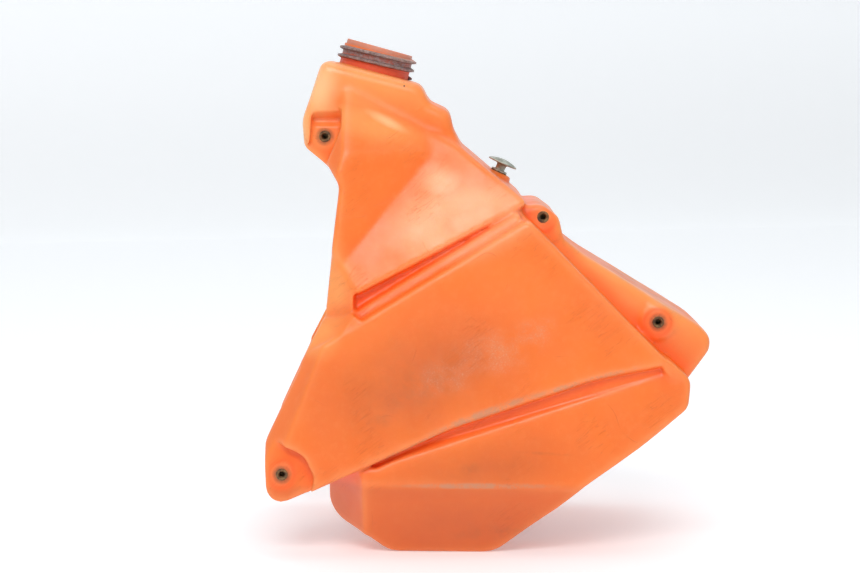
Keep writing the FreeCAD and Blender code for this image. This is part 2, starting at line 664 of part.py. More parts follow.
def all_parts():
    parts = {"tank_shell": tank_shell(), "seat_stud": seat_stud()}
    for name in INSERT_SITES:
        left = at_site(small_insert(), name)
        parts[f"insert_{name}_left"] = left
        parts[f"insert_{name}_right"] = mirrored(left)
    parts["seat_stud_insert"] = placed(large_insert(), STUD_FOOT, tilted(STUD_TILT))
    parts["frame_bolt_insert"] = placed(large_insert(), roof_point(FRAME_INSERT_X), ROOF_DOWN)
    for name, x in PAD_X.items():
        parts[f"tunnel_pad_{name}"] = tunnel_pad(x)
    for make in (tap_body, tap_flange_seal, tap_strainer, tap_main_standpipe, tap_lever, tap_lever_seal,
                 tap_spring_washer, tap_retaining_plate, tap_plate_screws, tap_flange_washers, tap_flange_screws,
                 tap_mount_inserts):
        parts[make.__name__] = make()
    return parts


if __name__ == "__main__":
    os.makedirs("parts", exist_ok=True)
    for name, shape in all_parts().items():
        shape.exportStep(f"parts/{name}.step")
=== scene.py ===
import bpy
import bmesh
import json
import math
import numpy as np
from mathutils import Matrix, Vector

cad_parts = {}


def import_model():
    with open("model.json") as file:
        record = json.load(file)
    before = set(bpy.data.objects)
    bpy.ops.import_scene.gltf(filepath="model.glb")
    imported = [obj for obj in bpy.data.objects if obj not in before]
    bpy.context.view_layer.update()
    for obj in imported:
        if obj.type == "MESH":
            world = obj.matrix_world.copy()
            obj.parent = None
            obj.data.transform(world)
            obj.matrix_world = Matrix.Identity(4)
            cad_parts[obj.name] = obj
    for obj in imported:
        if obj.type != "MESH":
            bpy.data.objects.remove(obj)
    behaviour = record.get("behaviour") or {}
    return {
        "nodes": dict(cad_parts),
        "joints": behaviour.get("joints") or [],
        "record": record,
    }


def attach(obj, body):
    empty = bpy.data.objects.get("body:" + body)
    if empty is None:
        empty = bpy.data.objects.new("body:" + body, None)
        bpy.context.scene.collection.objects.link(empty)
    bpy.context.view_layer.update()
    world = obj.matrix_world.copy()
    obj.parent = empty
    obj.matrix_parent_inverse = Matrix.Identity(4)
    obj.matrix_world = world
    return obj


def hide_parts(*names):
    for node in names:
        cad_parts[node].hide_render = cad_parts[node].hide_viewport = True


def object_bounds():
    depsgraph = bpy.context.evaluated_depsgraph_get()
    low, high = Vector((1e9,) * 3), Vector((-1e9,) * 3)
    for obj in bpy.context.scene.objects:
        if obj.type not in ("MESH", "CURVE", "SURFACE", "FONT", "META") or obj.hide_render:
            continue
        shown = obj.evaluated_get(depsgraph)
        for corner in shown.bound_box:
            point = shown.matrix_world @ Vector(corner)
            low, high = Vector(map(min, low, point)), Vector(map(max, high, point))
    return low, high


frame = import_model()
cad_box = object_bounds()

MM = 0.001
SCENE = bpy.context.scene
MOUNTS = {m["name"]: m for m in frame["record"]["mounts"]}

# ------------------------------------------------------------------ places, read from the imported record


def mount(name):
    m = MOUNTS[name]
    return Vector(m["pos_m"]), Vector(m["axis"]).normalized()


NECK_TOP, NECK_AXIS = mount("filler_neck_thread")
NECK_HEIGHT = 20 * MM
NECK_BASE = NECK_TOP - NECK_AXIS * NECK_HEIGHT
BORE_R = 25 * MM
FRAME_BOLT, ROOF_DOWN = mount("frame_bolt")
FRAME_BOLT = FRAME_BOLT + ROOF_DOWN * 8 * MM
STUD_NECK, STUD_AXIS = mount("seat_stud_head")
STUD_FOOT = STUD_NECK - STUD_AXIS * 7.2 * MM
SITES = [f"{place}_{side}" for place in ("front_upper", "front_lower", "rear_upper", "rear_lower")
         for side in ("left", "right")]


def site(name):
    """The point of an insert's mouth on the surface, and the way out."""
    pos, axis = mount(f"panel_screw_{name}")
    return pos + axis * 5 * MM, axis


# ------------------------------------------------------------------ camera, light, floor

CAMERA_PLACE = (-0.0485, -2.0, 0.4017)
CAMERA_DOWN = 5.5  # degrees


def camera():
    data = bpy.data.cameras.new("camera")
    data.sensor_width = 36
    data.lens = 98.5
    data.clip_start, data.clip_end = 0.05, 60
    cam = bpy.data.objects.new("camera", data)
    cam.location = CAMERA_PLACE
    cam.rotation_euler = (math.radians(90 - CAMERA_DOWN), 0, 0)
    SCENE.collection.objects.link(cam)
    SCENE.camera = cam


def area_light(name, place, target, size, power, colour=(1, 1, 1)):
    data = bpy.data.lights.new(name, "AREA")
    data.shape = "RECTANGLE"
    data.size, data.size_y = size
    data.energy = power
    data.color = colour
    lamp = bpy.data.objects.new(name, data)
    lamp.location = place
    lamp.rotation_euler = (Vector(target) - Vector(place)).to_track_quat("-Z", "Y").to_euler()
    SCENE.collection.objects.link(lamp)


def world():
    """A soft pale sky, brighter from above."""
    w = bpy.data.worlds.new("studio")
    w.use_nodes = True
    tree = w.node_tree
    tree.nodes.clear()
    coords = tree.nodes.new("ShaderNodeTexCoord")
    split = tree.nodes.new("ShaderNodeSeparateXYZ")
    ramp = tree.nodes.new("ShaderNodeValToRGB")
    ramp.color_ramp.elements[0].position = 0.35
    ramp.color_ramp.elements[0].color = (0.62, 0.63, 0.65, 1)
    ramp.color_ramp.elements[1].position = 0.85
    ramp.color_ramp.elements[1].color = (1.0, 1.01, 1.03, 1)
    half = tree.nodes.new("ShaderNodeMath")
    half.operation = "MULTIPLY_ADD"
    half.inputs[1].default_value = 0.5
    half.inputs[2].default_value = 0.5
    back = tree.nodes.new("ShaderNodeBackground")
    back.inputs["Strength"].default_value = 0.46
    out = tree.nodes.new("ShaderNodeOutputWorld")
    tree.links.new(coords.outputs["Generated"], split.inputs[0])
    tree.links.new(split.outputs["Z"], half.inputs[0])
    tree.links.new(half.outputs[0], ramp.inputs[0])
    tree.links.new(ramp.outputs[0], back.inputs["Color"])
    tree.links.new(back.outputs[0], out.inputs[0])
    SCENE.world = w


def backdrop():
    """A pale floor and a wall behind it, turned a little so that the wall is further off on the right."""
    turn = Matrix.Rotation(math.radians(16), 4, "Z")
    bend = [(3.3 + 0.5 * math.sin(a), 0.5 - 0.5 * math.cos(a)) for a in np.linspace(0, math.pi / 2, 15)]
    for name, line, glow in (("floor", [(-6.0, 0.0), (3.3, 0.0)], 0.27), ("wall", bend + [(3.8, 9.0)], 0.3)):
        mesh = bpy.data.meshes.new(name)
        verts = [turn @ Vector((x, y, z)) for y, z in line for x in (-14.0, 14.0)]
        faces = [(2 * i, 2 * i + 1, 2 * i + 3, 2 * i + 2) for i in range(len(line) - 1)]
        mesh.from_pydata(verts, [], faces)
        mesh.polygons.foreach_set("use_smooth", [True] * len(mesh.polygons))
        sheet = bpy.data.objects.new(name, mesh)
        SCENE.collection.objects.link(sheet)
        mat = bpy.data.materials.new(name)
        mat.use_nodes = True
        shader = mat.node_tree.nodes["Principled BSDF"]
        shader.inputs["Base Color"].default_value = (0.86, 0.87, 0.88, 1)
        shader.inputs["Roughness"].default_value = 0.45
        shader.inputs["Specular IOR Level"].default_value = 0.3
        shader.inputs["Emission Color"].default_value = (0.93, 0.97, 1.0, 1)
        shader.inputs["Emission Strength"].default_value = glow
        mesh.materials.append(mat)


# ------------------------------------------------------------------ material helpers

class Nodes:
    """Short names for the nodes of one material. Coordinates are the object's own, in metres."""

    def __init__(self, name):
        self.mat = bpy.data.materials.new(name)
        self.mat.use_nodes = True
        self.tree = self.mat.node_tree
        self.shader = self.tree.nodes["Principled BSDF"]
        self.where = self.tree.nodes.new("ShaderNodeTexCoord").outputs["Object"]

    def new(self, kind, **settings):
        node = self.tree.nodes.new(kind)
        for key, value in settings.items():
            setattr(node, key, value)
        return node

    def put(self, socket, value):
        if isinstance(value, bpy.types.NodeSocket):
            self.tree.links.new(value, socket)
        elif isinstance(value, (tuple, list)) and len(value) == 3 and len(socket.default_value) == 4:
            socket.default_value = (*value, 1)
        else:
            socket.default_value = value

    def math(self, operation, a, b=0.0, clamp=False):
        node = self.new("ShaderNodeMath", operation=operation, use_clamp=clamp)
        self.put(node.inputs[0], a)
        self.put(node.inputs[1], b)
        return node.outputs[0]

    def mapped(self, move=(0, 0, 0), turn=(0, 0, 0), scale=(1, 1, 1), vector=None):
        """Coordinates with move taken away, then turned, then scaled."""
        shift = self.new("ShaderNodeVectorMath", operation="SUBTRACT")
        self.put(shift.inputs[0], vector or self.where)
        shift.inputs[1].default_value = move
        node = self.new("ShaderNodeMapping", vector_type="POINT")
        self.put(node.inputs["Vector"], shift.outputs[0])
        node.inputs["Rotation"].default_value = turn
        grow = self.new("ShaderNodeVectorMath", operation="MULTIPLY")
        self.put(grow.inputs[0], node.outputs[0])
        grow.inputs[1].default_value = scale
        return grow.outputs[0]

    def noise(self, size, detail=3.0, rough=0.5, distort=0.0, vector=None):
        """size is the width of one blot in metres."""
        node = self.new("ShaderNodeTexNoise")
        self.put(node.inputs["Vector"], vector or self.where)
        node.inputs["Scale"].default_value = 1.0 / size
        node.inputs["Detail"].default_value = detail
        node.inputs["Roughness"].default_value = rough
        node.inputs["Distortion"].default_value = distort
        return node.outputs["Fac"]

    def fade(self, value, start, end, low=0.0, high=1.0):
        """low before start, high after end, smooth between."""
        node = self.new("ShaderNodeMapRange", interpolation_type="SMOOTHSTEP")
        self.put(node.inputs["Value"], value)
        if start > end:
            start, end, low, high = end, start, high, low
        node.inputs["From Min"].default_value = start
        node.inputs["From Max"].default_value = end
        node.inputs["To Min"].default_value = low
        node.inputs["To Max"].default_value = high
        return node.outputs["Result"]

    def patch(self, centre, radii, tilt=0.0, core=0.2, vector=None):
        """1 inside an ellipsoid, fading to 0 at its edge. tilt turns it about Y, in degrees, up towards +X."""
        local = self.mapped(centre, (0, math.radians(tilt), 0), [1.0 / r for r in radii], vector)
        length = self.new("ShaderNodeVectorMath", operation="LENGTH")
        self.put(length.inputs[0], local)
        return self.fade(length.outputs["Value"], 1.0, core)

    def patches(self, places):
        """The most that any of the patches gives, the same on both sides of the tank."""
        both = both_sides(self)
        total = 0.0
        for place in places:
            one = self.patch(*place, vector=both)
            total = one if total == 0.0 else self.math("MAXIMUM", total, one)
        return total

    def hairlines(self, size, width, distort=0.0, vector=None, detail=2.0):
        """Thin wandering lines, where a noise crosses its middle."""
        off = self.math("ABSOLUTE", self.math("SUBTRACT", self.noise(size, detail, 0.5, distort, vector), 0.5))
        return self.fade(off, width, width * 0.35)

    def mix(self, factor, a, b, blend="MIX"):
        node = self.new("ShaderNodeMix", data_type="RGBA", blend_type=blend)
        self.put(node.inputs[0], factor)
        self.put(node.inputs[6], a)
        self.put(node.inputs[7], b)
        return node.outputs[2]

    def attribute(self, name):
        return self.new("ShaderNodeAttribute", attribute_name=name).outputs["Fac"]

    def bump(self, height, distance, normal=None):
        node = self.new("ShaderNodeBump")
        node.inputs["Distance"].default_value = distance
        self.put(node.inputs["Height"], height)
        if normal:
            self.put(node.inputs["Normal"], normal)
        return node.outputs[0]

    def set(self, **values):
        for key, value in values.items():
            self.put(self.shader.inputs[key.replace("_", " ")], value)
        return self.mat


# ------------------------------------------------------------------ mesh helpers

def add_object(name, mesh, body="tank", replaces=()):
    obj = bpy.data.objects.new(name, mesh)
    SCENE.collection.objects.link(obj)
    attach(obj, body)
    if replaces:
        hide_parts(*replaces)
    return obj


def smooth_shaded(mesh, angle=None):
    mesh.polygons.foreach_set("use_smooth", [True] * len(mesh.polygons))
    if angle is not None:
        mesh.set_sharp_from_angle(angle=math.radians(angle))


def mesh_from(bm, name):
    bmesh.ops.recalc_face_normals(bm, faces=bm.faces)
    mesh = bpy.data.meshes.new(name)
    bm.to_mesh(mesh)
    bm.free()
    return mesh


def modified(mesh, kind, **settings):
    """The mesh after one modifier."""
    obj = bpy.data.objects.new("making", mesh)
    SCENE.collection.objects.link(obj)
    modifier = obj.modifiers.new("making", kind)
    for key, value in settings.items():
        setattr(modifier, key, value)
    result = bpy.data.meshes.new_from_object(obj.evaluated_get(bpy.context.evaluated_depsgraph_get()))
    bpy.data.objects.remove(obj)
    return result


def place_matrix(origin, axis):
    """From Z up at the origin to axis at the given point."""
    return Matrix.Translation(origin) @ axis.to_track_quat("Z", "Y").to_matrix().to_4x4()


TURNED_SIDES = 72


def revolved(profile):
    """A bmesh turned about Z. profile is a list of (r, z), in mm."""
    bm = bmesh.new()
    sides = TURNED_SIDES
    rings = []
    for point in profile:
        r, z = point[0] * MM, point[1] * MM
        if r < 1e-7:
            rings.append([bm.verts.new((0, 0, z))] * sides)
            continue
        rings.append([bm.verts.new((r * math.cos(2 * math.pi * i / sides), r * math.sin(2 * math.pi * i / sides), z))
                      for i in range(sides)])
    for low, high in zip(rings, rings[1:]):
        for i in range(sides):
            j = (i + 1) % sides
            corners = []
            for v in (low[i], low[j], high[j], high[i]):
                if v not in corners:
                    corners.append(v)
            if len(corners) > 2:
                bm.faces.new(corners)
    return bm


def threaded(bm, r, start, end, pitch, depth):
    """Moves the vertices of a turned bore or shank at radius r, between two heights, into a thread."""
    for v in bm.verts:
        z = v.co.z / MM
        if abs(math.hypot(v.co.x, v.co.y) / MM - r) < 0.02 and min(start, end) <= z <= max(start, end):
            phase = (z / pitch - math.atan2(v.co.y, v.co.x) / (2 * math.pi)) % 1.0
            push = depth * (1 - abs(2 * phase - 1) * 2)
            fade = min(1.0, (z - min(start, end)) / pitch, (max(start, end) - z) / pitch)
            factor = 1 + push * fade / r
            v.co.x *= factor
            v.co.y *= factor


# ------------------------------------------------------------------ the moulded shell

VOXEL = 1.5 * MM
BORE_ENDS = (-31 * MM, 20.5 * MM)  # over the neck's foot, along its axis
TAP_HOLE_R = 9.1 * MM
TAP_WALL = (-59.3 * MM, -49.7 * MM)  # across, just past both faces of the wall the tap is on
TAP_SCREW_OUT = 19  # mm from the tap's axis
SMALL_POCKET_R = 4.7 * MM
LARGE_POCKET_R = 6.8 * MM
CUT_UNDER_NECK = 0.4  # mm
COLLAR_REACH = 3  # mm


def axial(points, origin, axis):
    """Heights along an axis and distances from it."""
    rel = points - np.array(origin)
    high = rel @ np.array(axis)
    return high, np.linalg.norm(rel - np.outer(high, np.array(axis)), axis=1)


def points_of(mesh):
    points = np.empty(len(mesh.vertices) * 3)
    mesh.vertices.foreach_get("co", points)
    return points.reshape(-1, 3)


def welded(mesh):
    """Points and triangles, with the points that CAD faces share made one."""
    mesh.calc_loop_triangles()
    tris = np.empty(len(mesh.loop_triangles) * 3, int)
    mesh.loop_triangles.foreach_get("vertices", tris)
    points = points_of(mesh)
    grid = np.round(points / 2e-7).astype(np.int64)
    _, first, same = np.unique(grid, axis=0, return_index=True, return_inverse=True)
    return points[first], same.reshape(-1)[tris].reshape(-1, 3)


def islands(count, tris):
    """One label for every point, the same all over a connected piece."""
    label = np.arange(count)
    while True:
        before = label.copy()
        least = label[tris].min(axis=1)
        for corner in range(3):
            np.minimum.at(label, tris[:, corner], least)
        label = label[label]
        if (label == before).all():
            return label


def mesh_of(name, points, tris):
    used, same = np.unique(tris, return_inverse=True)
    mesh = bpy.data.meshes.new(name)
    mesh.from_pydata(points[used].tolist(), [], same.reshape(-1, 3).tolist())
    return mesh


def tank_surfaces():
    """The CAD shell taken apart: its outer skin, and its inside with the bore of the neck."""
    points, tris = welded(frame["nodes"]["tank_shell"].data)
    high, far = axial(points, NECK_BASE, NECK_AXIS)
    bore = (np.abs(far - BORE_R) < 0.05 * MM) & (high > BORE_ENDS[0]) & (high < BORE_ENDS[1])
    tap = frame["joints"][0]["pos_m"]
    _, wide = axial(points, (tap[0], 0, tap[2]), (0, 1, 0))
    tap_hole = (wide < TAP_HOLE_R) & (points[:, 1] > TAP_WALL[0]) & (points[:, 1] < TAP_WALL[1])
    of_bore = bore[tris].all(axis=1)
    rest = tris[~of_bore & ~tap_hole[tris].all(axis=1)]
    label = islands(len(points), rest)[rest[:, 0]]
    spans = {name: np.prod(np.ptp(points[rest[label == name]].reshape(-1, 3), axis=0)) for name in np.unique(label)}
    order = sorted(spans, key=spans.get, reverse=True)
    skin = mesh_of("skin", points, rest[label == order[0]])
    inside = mesh_of("inside", points, np.vstack([rest[label == order[1]], tris[of_bore]]))
    return skin, inside


def upper_and_lower(skin):
    """The skin cut just under the neck's foot: the neck with a collar below it, and the body."""
    cut = NECK_BASE - NECK_AXIS * CUT_UNDER_NECK * MM
    parts = []
    for clear in ({"clear_inner": True}, {"clear_outer": True}):
        bm = bmesh.new()
        bm.from_mesh(skin)
        bmesh.ops.bisect_plane(bm, geom=bm.verts[:] + bm.edges[:] + bm.faces[:], plane_co=cut, plane_no=NECK_AXIS,
                               dist=1e-7, **clear)
        parts.append(bm)
    neck, body = parts
    collar = [e for e in neck.edges if len(e.link_faces) == 1
              and all((v.co - NECK_BASE).dot(NECK_AXIS) < -0.3 * MM for v in e.verts)]
    lowered = bmesh.ops.extrude_edge_only(neck, edges=collar)["geom"]
    for v in [v for v in lowered if isinstance(v, bmesh.types.BMVert)]:
        v.co -= NECK_AXIS * COLLAR_REACH * MM
    return neck, body


def close_pockets(bm):
    """Closes the pockets and the neck's opening flush. What has to be open is cut again after the remesh."""
    mouths = [(*site(name), SMALL_POCKET_R) for name in SITES]
    mouths += [(FRAME_BOLT, ROOF_DOWN, LARGE_POCKET_R), (STUD_FOOT, STUD_AXIS, LARGE_POCKET_R)]
    tap = Vector(frame["joints"][0]["pos_m"])
    along = Vector(MOUNTS["fuel_hose_spigot"]["axis"]).cross(Vector((0, 1, 0)))
    mouths += [(Vector((tap.x, -50 * MM, tap.z)) + along * side * TAP_SCREW_OUT * MM, Vector((0, 1, 0)),
                SMALL_POCKET_R) for side in (-1, 1)]
    for mouth, axis, wide in mouths:
        bm.verts.index_update()
        high, far = axial(np.array([v.co[:] for v in bm.verts]), mouth, axis)
        inside = (far < wide) & (high < 0.05 * MM) & (high > -19 * MM)
        below = high < -0.2 * MM
        doomed = [f for f in bm.faces
                  if all(inside[v.index] for v in f.verts) and any(below[v.index] for v in f.verts)]
        bmesh.ops.delete(bm, geom=doomed, context="FACES")
    edges = [e for e in bm.edges if len(e.link_faces) == 1]
    bmesh.ops.holes_fill(bm, edges=edges, sides=0)
    bmesh.ops.triangulate(bm, faces=[f for f in bm.faces if len(f.verts) > 3])


def relax(points, edges, weight, rounds):
    """Moves each point towards the middle of its neighbours."""
    count = len(points)
    ends = np.concatenate([edges[:, 0], edges[:, 1]])
    others = np.concatenate([edges[:, 1], edges[:, 0]])
    degree = np.maximum(np.bincount(ends, minlength=count), 1)
    for _ in range(rounds):
        for axis in range(3):
            mean = np.bincount(ends, weights=points[others, axis], minlength=count) / degree
            points[:, axis] += 0.5 * weight * (mean - points[:, axis])
    return points


def ease(value, start, end):
    t = np.clip((value - start) / (end - start), 0, 1)
    return t * t * (3 - 2 * t)


def softened(mesh):
    """Rounds the remeshed skin as blow moulding does: a little everywhere, and much around the head."""
    points = points_of(mesh)
    edges = np.empty(len(mesh.edges) * 2, int)
    mesh.edges.foreach_get("vertices", edges)
    edges = edges.reshape(-1, 2)
    x, z, out = points[:, 0] / MM, points[:, 2] / MM, np.abs(points[:, 1]) / MM
    free = np.ones(len(points))
    for name in SITES:
        _, far = axial(points, *site(name))
        near_side = points[:, 1] * site(name)[1].y > 0
        free = np.where(near_side, free * ease(far, 7 * MM, 11 * MM), free)
    high, far = axial(points, NECK_BASE, NECK_AXIS)
    free *= 1 - (1 - ease(far, 31 * MM, 36 * MM)) * (high > -12 * MM)
    pocket = (1 - ease(x, -121, -117)) * ease(z, 308, 314) * (1 - ease(z, 362, 368)) * ease(out, 40, 44)
    head = ease(z, 300, 326) * (1 - pocket)
    fold = ease(z, 222, 240) * (1 - pocket)
    crease = (1 - ease(np.abs(z - 59), 4, 12)) * ease(x, -92, -84) * (1 - ease(x, 40, 70)) * ease(out, 110, 116)
    tail_top = ease(x, 66, 80) * (1 - ease(np.abs(z - 241.5 + 0.617 * (x - 79)), 10, 18)) * ease(out, 40, 52)
    points = relax(points, edges, free, 4)
    points = relax(points, edges, free * fold, 5)
    points = relax(points, edges, free * head, 16)
    points = relax(points, edges, free * crease, 10)
    points = relax(points, edges, free * tail_top, 24)
    mesh.vertices.foreach_set("co", points.reshape(-1))
    mesh.update()
    return points, edges, free


def uneven(mesh, points, free):
    """The slight waves of a moulded wall, along its normals."""
    normals = np.empty(len(points) * 3)
    mesh.vertices.foreach_get("normal", normals)
    normals = normals.reshape(-1, 3)
    wave = np.zeros(len(points))
    rng = np.random.default_rng(7)
    for length, height in ((0.16, 0.35), (0.09, 0.22), (0.05, 0.10), (0.03, 0.05)):
        for _ in range(5):
            way = rng.normal(size=3)
            way /= np.linalg.norm(way)
            wave += height * MM / 2.2 * np.sin(points @ way * 2 * math.pi / length + rng.uniform(0, 6.28))
    points = np.clip(points + normals * (wave * free)[:, None], cad_box[0], cad_box[1])
    mesh.vertices.foreach_set("co", points.reshape(-1))
    mesh.update()
    return points


def store(mesh, name, values):
    layer = mesh.attributes.new(name, "FLOAT", "POINT")
    layer.data.foreach_set("value", values.astype(np.float32))


def curvature(mesh, points, edges):
    """Stores how sharp the surface bends: ridge where it bends out, hollow where it bends in."""
    normals = np.empty(len(points) * 3)
    mesh.vertices.foreach_get("normal", normals)
    normals = normals.reshape(-1, 3)
    count = len(points)
    ends = np.concatenate([edges[:, 0], edges[:, 1]])
    others = np.concatenate([edges[:, 1], edges[:, 0]])
    degree = np.maximum(np.bincount(ends, minlength=count), 1)

    def mean(values):
        return np.bincount(ends, weights=values[others], minlength=count) / degree

    middle = np.stack([mean(points[:, axis]) for axis in range(3)], axis=1)
    bend = ((middle - points) * normals).sum(axis=1) / (VOXEL * VOXEL) * MM
    for name, sign, rounds, scale in (("ridge", -1, 2, 9.0), ("hollow", 1, 2, 9.0), ("wide_hollow", 1, 30, 28.0),
                                      ("wide_ridge", -1, 14, 20.0)):
        value = np.maximum(bend * sign, 0)
        for _ in range(rounds):
            value = mean(value)
        store(mesh, name, np.clip(value * scale, 0, 1))


def cutter(mouths):
    """Cylinders that reach from 2 mm over each mouth down to 2 mm below its depth."""
    bm = bmesh.new()
    for mouth, axis, r, depth in mouths:
        matrix = place_matrix(mouth - axis * (depth / 2 - 2 * MM), axis)
        bmesh.ops.create_cone(bm, cap_ends=True, segments=48, radius1=r, radius2=r, depth=depth + 4 * MM,
                              matrix=matrix)
    return mesh_from(bm, "cutter")


def moulding():
    """The shell as three meshes: the moulded body, the neck on it, and the inside."""
    skin, inside = tank_surfaces()
    neck, body = upper_and_lower(skin)
    close_pockets(body)
    body = modified(mesh_from(body, "body"), "REMESH", mode="VOXEL", voxel_size=VOXEL)
    points, edges, free = softened(body)
    points = uneven(body, points, free)
    mouths = [(*site(name), 4.35 * MM, 11.5 * MM) for name in SITES]
    mouths += [(FRAME_BOLT, ROOF_DOWN, 6.7 * MM, 18.5 * MM), (NECK_BASE, NECK_AXIS, 26.5 * MM, 30 * MM)]
    tool = bpy.data.objects.new("tool", cutter(mouths))
    SCENE.collection.objects.link(tool)
    body = modified(body, "BOOLEAN", operation="DIFFERENCE", object=tool, solver="MANIFOLD")
    bpy.data.objects.remove(tool)
    bm = bmesh.new()
    bm.from_mesh(body)
    floor = [f for f in bm.faces if abs((f.calc_center_median() - NECK_BASE).dot(NECK_AXIS) + 30 * MM) < 0.05 * MM
             and abs(f.normal.dot(NECK_AXIS)) > 0.99]
    bmesh.ops.delete(bm, geom=floor, context="FACES")
    bm.to_mesh(body)
    bm.free()
    edges = np.empty(len(body.edges) * 2, int)
    body.edges.foreach_get("vertices", edges)
    curvature(body, points_of(body), edges.reshape(-1, 2))
    smooth_shaded(body, 50)
    neck = mesh_from(neck, "neck")
    smooth_shaded(neck, 28)
    smooth_shaded(inside, 28)
    return body, neck, inside


# ------------------------------------------------------------------ materials

PLASTIC_SCATTER = (1.0, 0.4, 0.15)


def srgb(r, g, b):
    return tuple(((c / 255 + 0.055) / 1.055) ** 2.4 if c > 10 else c / 255 / 12.92 for c in (r, g, b))


def far_from(n, origin, axis, vector=None):
    """Distance from an axis, in metres."""
    shift = n.new("ShaderNodeVectorMath", operation="SUBTRACT")
    n.put(shift.inputs[0], vector or n.where)
    shift.inputs[1].default_value = origin
    cross = n.new("ShaderNodeVectorMath", operation="CROSS_PRODUCT")
    n.put(cross.inputs[0], shift.outputs[0])
    cross.inputs[1].default_value = axis
    length = n.new("ShaderNodeVectorMath", operation="LENGTH")
    n.put(length.inputs[0], cross.outputs[0])
    return length.outputs["Value"]


def height_over(n, origin, axis):
    shift = n.new("ShaderNodeVectorMath", operation="SUBTRACT")
    n.put(shift.inputs[0], n.where)
    shift.inputs[1].default_value = origin
    dot = n.new("ShaderNodeVectorMath", operation="DOT_PRODUCT")
    n.put(dot.inputs[0], shift.outputs[0])
    dot.inputs[1].default_value = axis
    return dot.outputs["Value"]


def both_sides(n):
    """Coordinates in which the right side repeats the left, at negative Y."""
    split = n.new("ShaderNodeSeparateXYZ")
    n.put(split.inputs[0], n.where)
    y = n.math("MULTIPLY", n.math("ABSOLUTE", split.outputs["Y"]), -1.0)
    join = n.new("ShaderNodeCombineXYZ")
    n.put(join.inputs["X"], split.outputs["X"])
    n.put(join.inputs["Y"], y)
    n.put(join.inputs["Z"], split.outputs["Z"])
    return join.outputs[0]


def mm3(x, y, z):
    return (x * MM, y * MM, z * MM)


# centre, radii, tilt in degrees, core: where the side's plastic is rubbed or dirty, and where painted light, glow,
# sheen and shade go
RUBBED = [(mm3(4, -122, 168), mm3(60, 30, 26), 12, 0.0), (mm3(34, -118, 182), mm3(30, 30, 18), 20, 0.0),
          (mm3(-34, -122, 148), mm3(44, 30, 20), 20, 0.0)]
WORN_EDGE = [(mm3(-10, -124, 59), mm3(80, 14, 3.4), 0, 0.3), (mm3(-66, -124, 89.5), mm3(56, 12, 3.6), 25, 0.2),
             (mm3(-6, -122, 117.5), mm3(62, 12, 5), 20.5, 0.3),
             (mm3(70, -119, 141.5), mm3(70, 12, 4), 15.5, 0.3)]
# painted sheen: the pale reflection of the overhead light on the upper panel
PAINTED_SHEEN = [(mm3(-20, -92, 272), mm3(74, 30, 46), 10, 0.45), (mm3(-40, -80, 302), mm3(26, 30, 20), -30, 0.2)]
# painted light: paler patches on the head, the tail's top and the front, where the plastic is lit
PAINTED_LIGHT = [(mm3(-100, -40, 382), mm3(90, 80, 44), -14, 0.0), (mm3(-104, -40, 350), mm3(72, 70, 22), -16, 0.3),
        (mm3(-152, -50, 352), mm3(34, 60, 66), 0, 0.4),
        (mm3(120, -70, 214), mm3(110, 40, 46), -34, 0.2), (mm3(-130, -90, 215), mm3(26, 40, 56), 0, 0.3),
        (mm3(-136, -92, 176), mm3(26, 40, 26), 0, 0.3),
        (mm3(46, -70, 272), mm3(30, 30, 24), 0, 0.2)]
# painted glow: pale patches on the head's front, as if the plastic were lit from within
PAINTED_GLOW = [(mm3(-142, -40, 384), mm3(26, 60, 40), 0, 0.2), (mm3(-158, -50, 350), mm3(14, 50, 60), 0, 0.2),
           (mm3(-84, -76, 352), mm3(26, 30, 6), -28, 0.1)]
# dirt and painted shade: darker patches on the main face, the lower lobe and the belly that faces down
DIRT_AND_PAINTED_SHADE = [(mm3(-60, -122, 146), mm3(120, 40, 66), 20, 0.1), (mm3(-10, -121, 70), mm3(110, 40, 40), 10, 0.0),
          (mm3(-30, -110, 20), mm3(90, 60, 46), 6, 0.1)]
SMUDGES = [(mm3(-88, -125, 113), mm3(14, 20, 9), 10, 0.1), (mm3(-50, -124, 146), mm3(70, 20, 30), 25, 0.0),
           (mm3(-16, -121, 73), mm3(13, 20, 7), 8, 0.0), (mm3(-124, -90, 256), mm3(2.6, 6, 3), 0, 0.2),
           (mm3(8, -112, 18), mm3(56, 30, 10), 4, 0.0), (mm3(46, -124, 85), mm3(32, 20, 2.2), -3, 0.0),
           (mm3(62, -73, 250), mm3(3.5, 5, 2), -40, 0.2), (mm3(69, -73, 241), mm3(3, 5, 2), -40, 0.2),
           (mm3(150, -73, 189), mm3(4, 5, 1.6), -50, 0.2)]
SEAT_RUB = [(mm3(128, 0, 214), mm3(66, 120, 7), -32, 0.4), (mm3(52, 0, 281), mm3(26, 120, 6), -24, 0.3)]
SPECKS = [(mm3(-69.9, -57, 383.0), mm3(0.8, 6, 0.7), 0, 0.5), (mm3(-69.7, -57, 380.4), mm3(0.9, 6, 1.2), 0, 0.5)]


def plastic_ground(n):
    """What all the orange plastic shares: its colour and grain."""
    broad = n.noise(0.09, 4, 0.55)
    fine = n.noise(0.006, 5, 0.6)
    colour = n.mix(n.fade(broad, 0.3, 0.7), srgb(248, 124, 46), srgb(240, 115, 42))
    colour = n.mix(n.math("MULTIPLY", n.fade(fine, 0.45, 0.75), 0.2), colour, srgb(250, 142, 74))
    return colour, broad, fine


def scratches(n, turn, size, width, stretch=12.0):
    """Straight short scratches that run one way."""
    local = n.mapped((0.3, 0.2, 0.1), turn, (1.0, 1.0, stretch))
    return n.hairlines(size, width, 0.0, local, 1.0)


def insert_grime(n):
    """Dirt in a ring around the side inserts, apart from the rear upper ones."""
    both = both_sides(n)
    rings = None
    for name in ("front_upper_left", "front_lower_left", "rear_lower_left"):
        mouth, axis = site(name)
        ring = n.fade(far_from(n, mouth, axis, both), 9.5 * MM, 4.6 * MM)
        rings = ring if rings is None else n.math("MAXIMUM", rings, ring)
    return n.math("MULTIPLY", rings, n.fade(n.noise(0.004, 4, 0.6), 0.25, 0.6, 0.45, 1.0))


